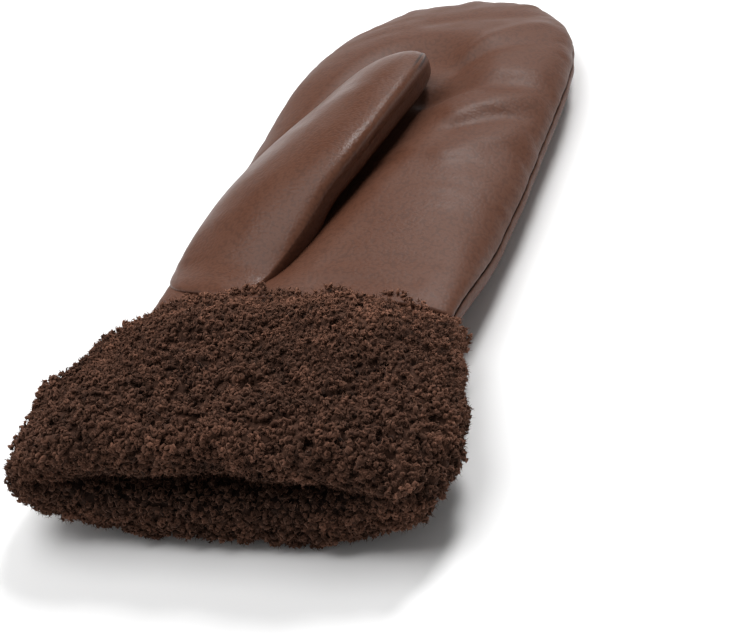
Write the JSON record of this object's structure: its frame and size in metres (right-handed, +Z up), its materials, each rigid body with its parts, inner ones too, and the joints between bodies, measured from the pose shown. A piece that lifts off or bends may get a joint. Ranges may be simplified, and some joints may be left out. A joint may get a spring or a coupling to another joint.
{
  "type": "leather mitten",
  "caption": "Left-hand leather mitten lying palm up, thumb folded over the palm, with a wide cuff of curly pile open at the front.",
  "frame": {"origin": "middle of the mitten's footprint, on the surface it lies on", "axes": "+Y along the mitten from the cuff to the fingertips, +Z up through the palm, +X to the right seen from the cuff with the palm up"},
  "size_m": [0.1362, 0.2632, 0.0454],
  "materials": {
    "palm_leather": "smooth brown leather with a soft sheen and a fine grain",
    "back_leather": "smooth brown leather with a soft sheen and a fine grain",
    "thumb_leather": "smooth brown leather with a soft sheen and a fine grain",
    "curly_pile": "matt dark brown curly pile in small clumps"
  },
  "bodies": {
    "root": {"palm_panel": "palm_leather", "back_panel": "back_leather", "thumb": "thumb_leather", "cuff": "curly_pile"}
  },
  "joints": []
}
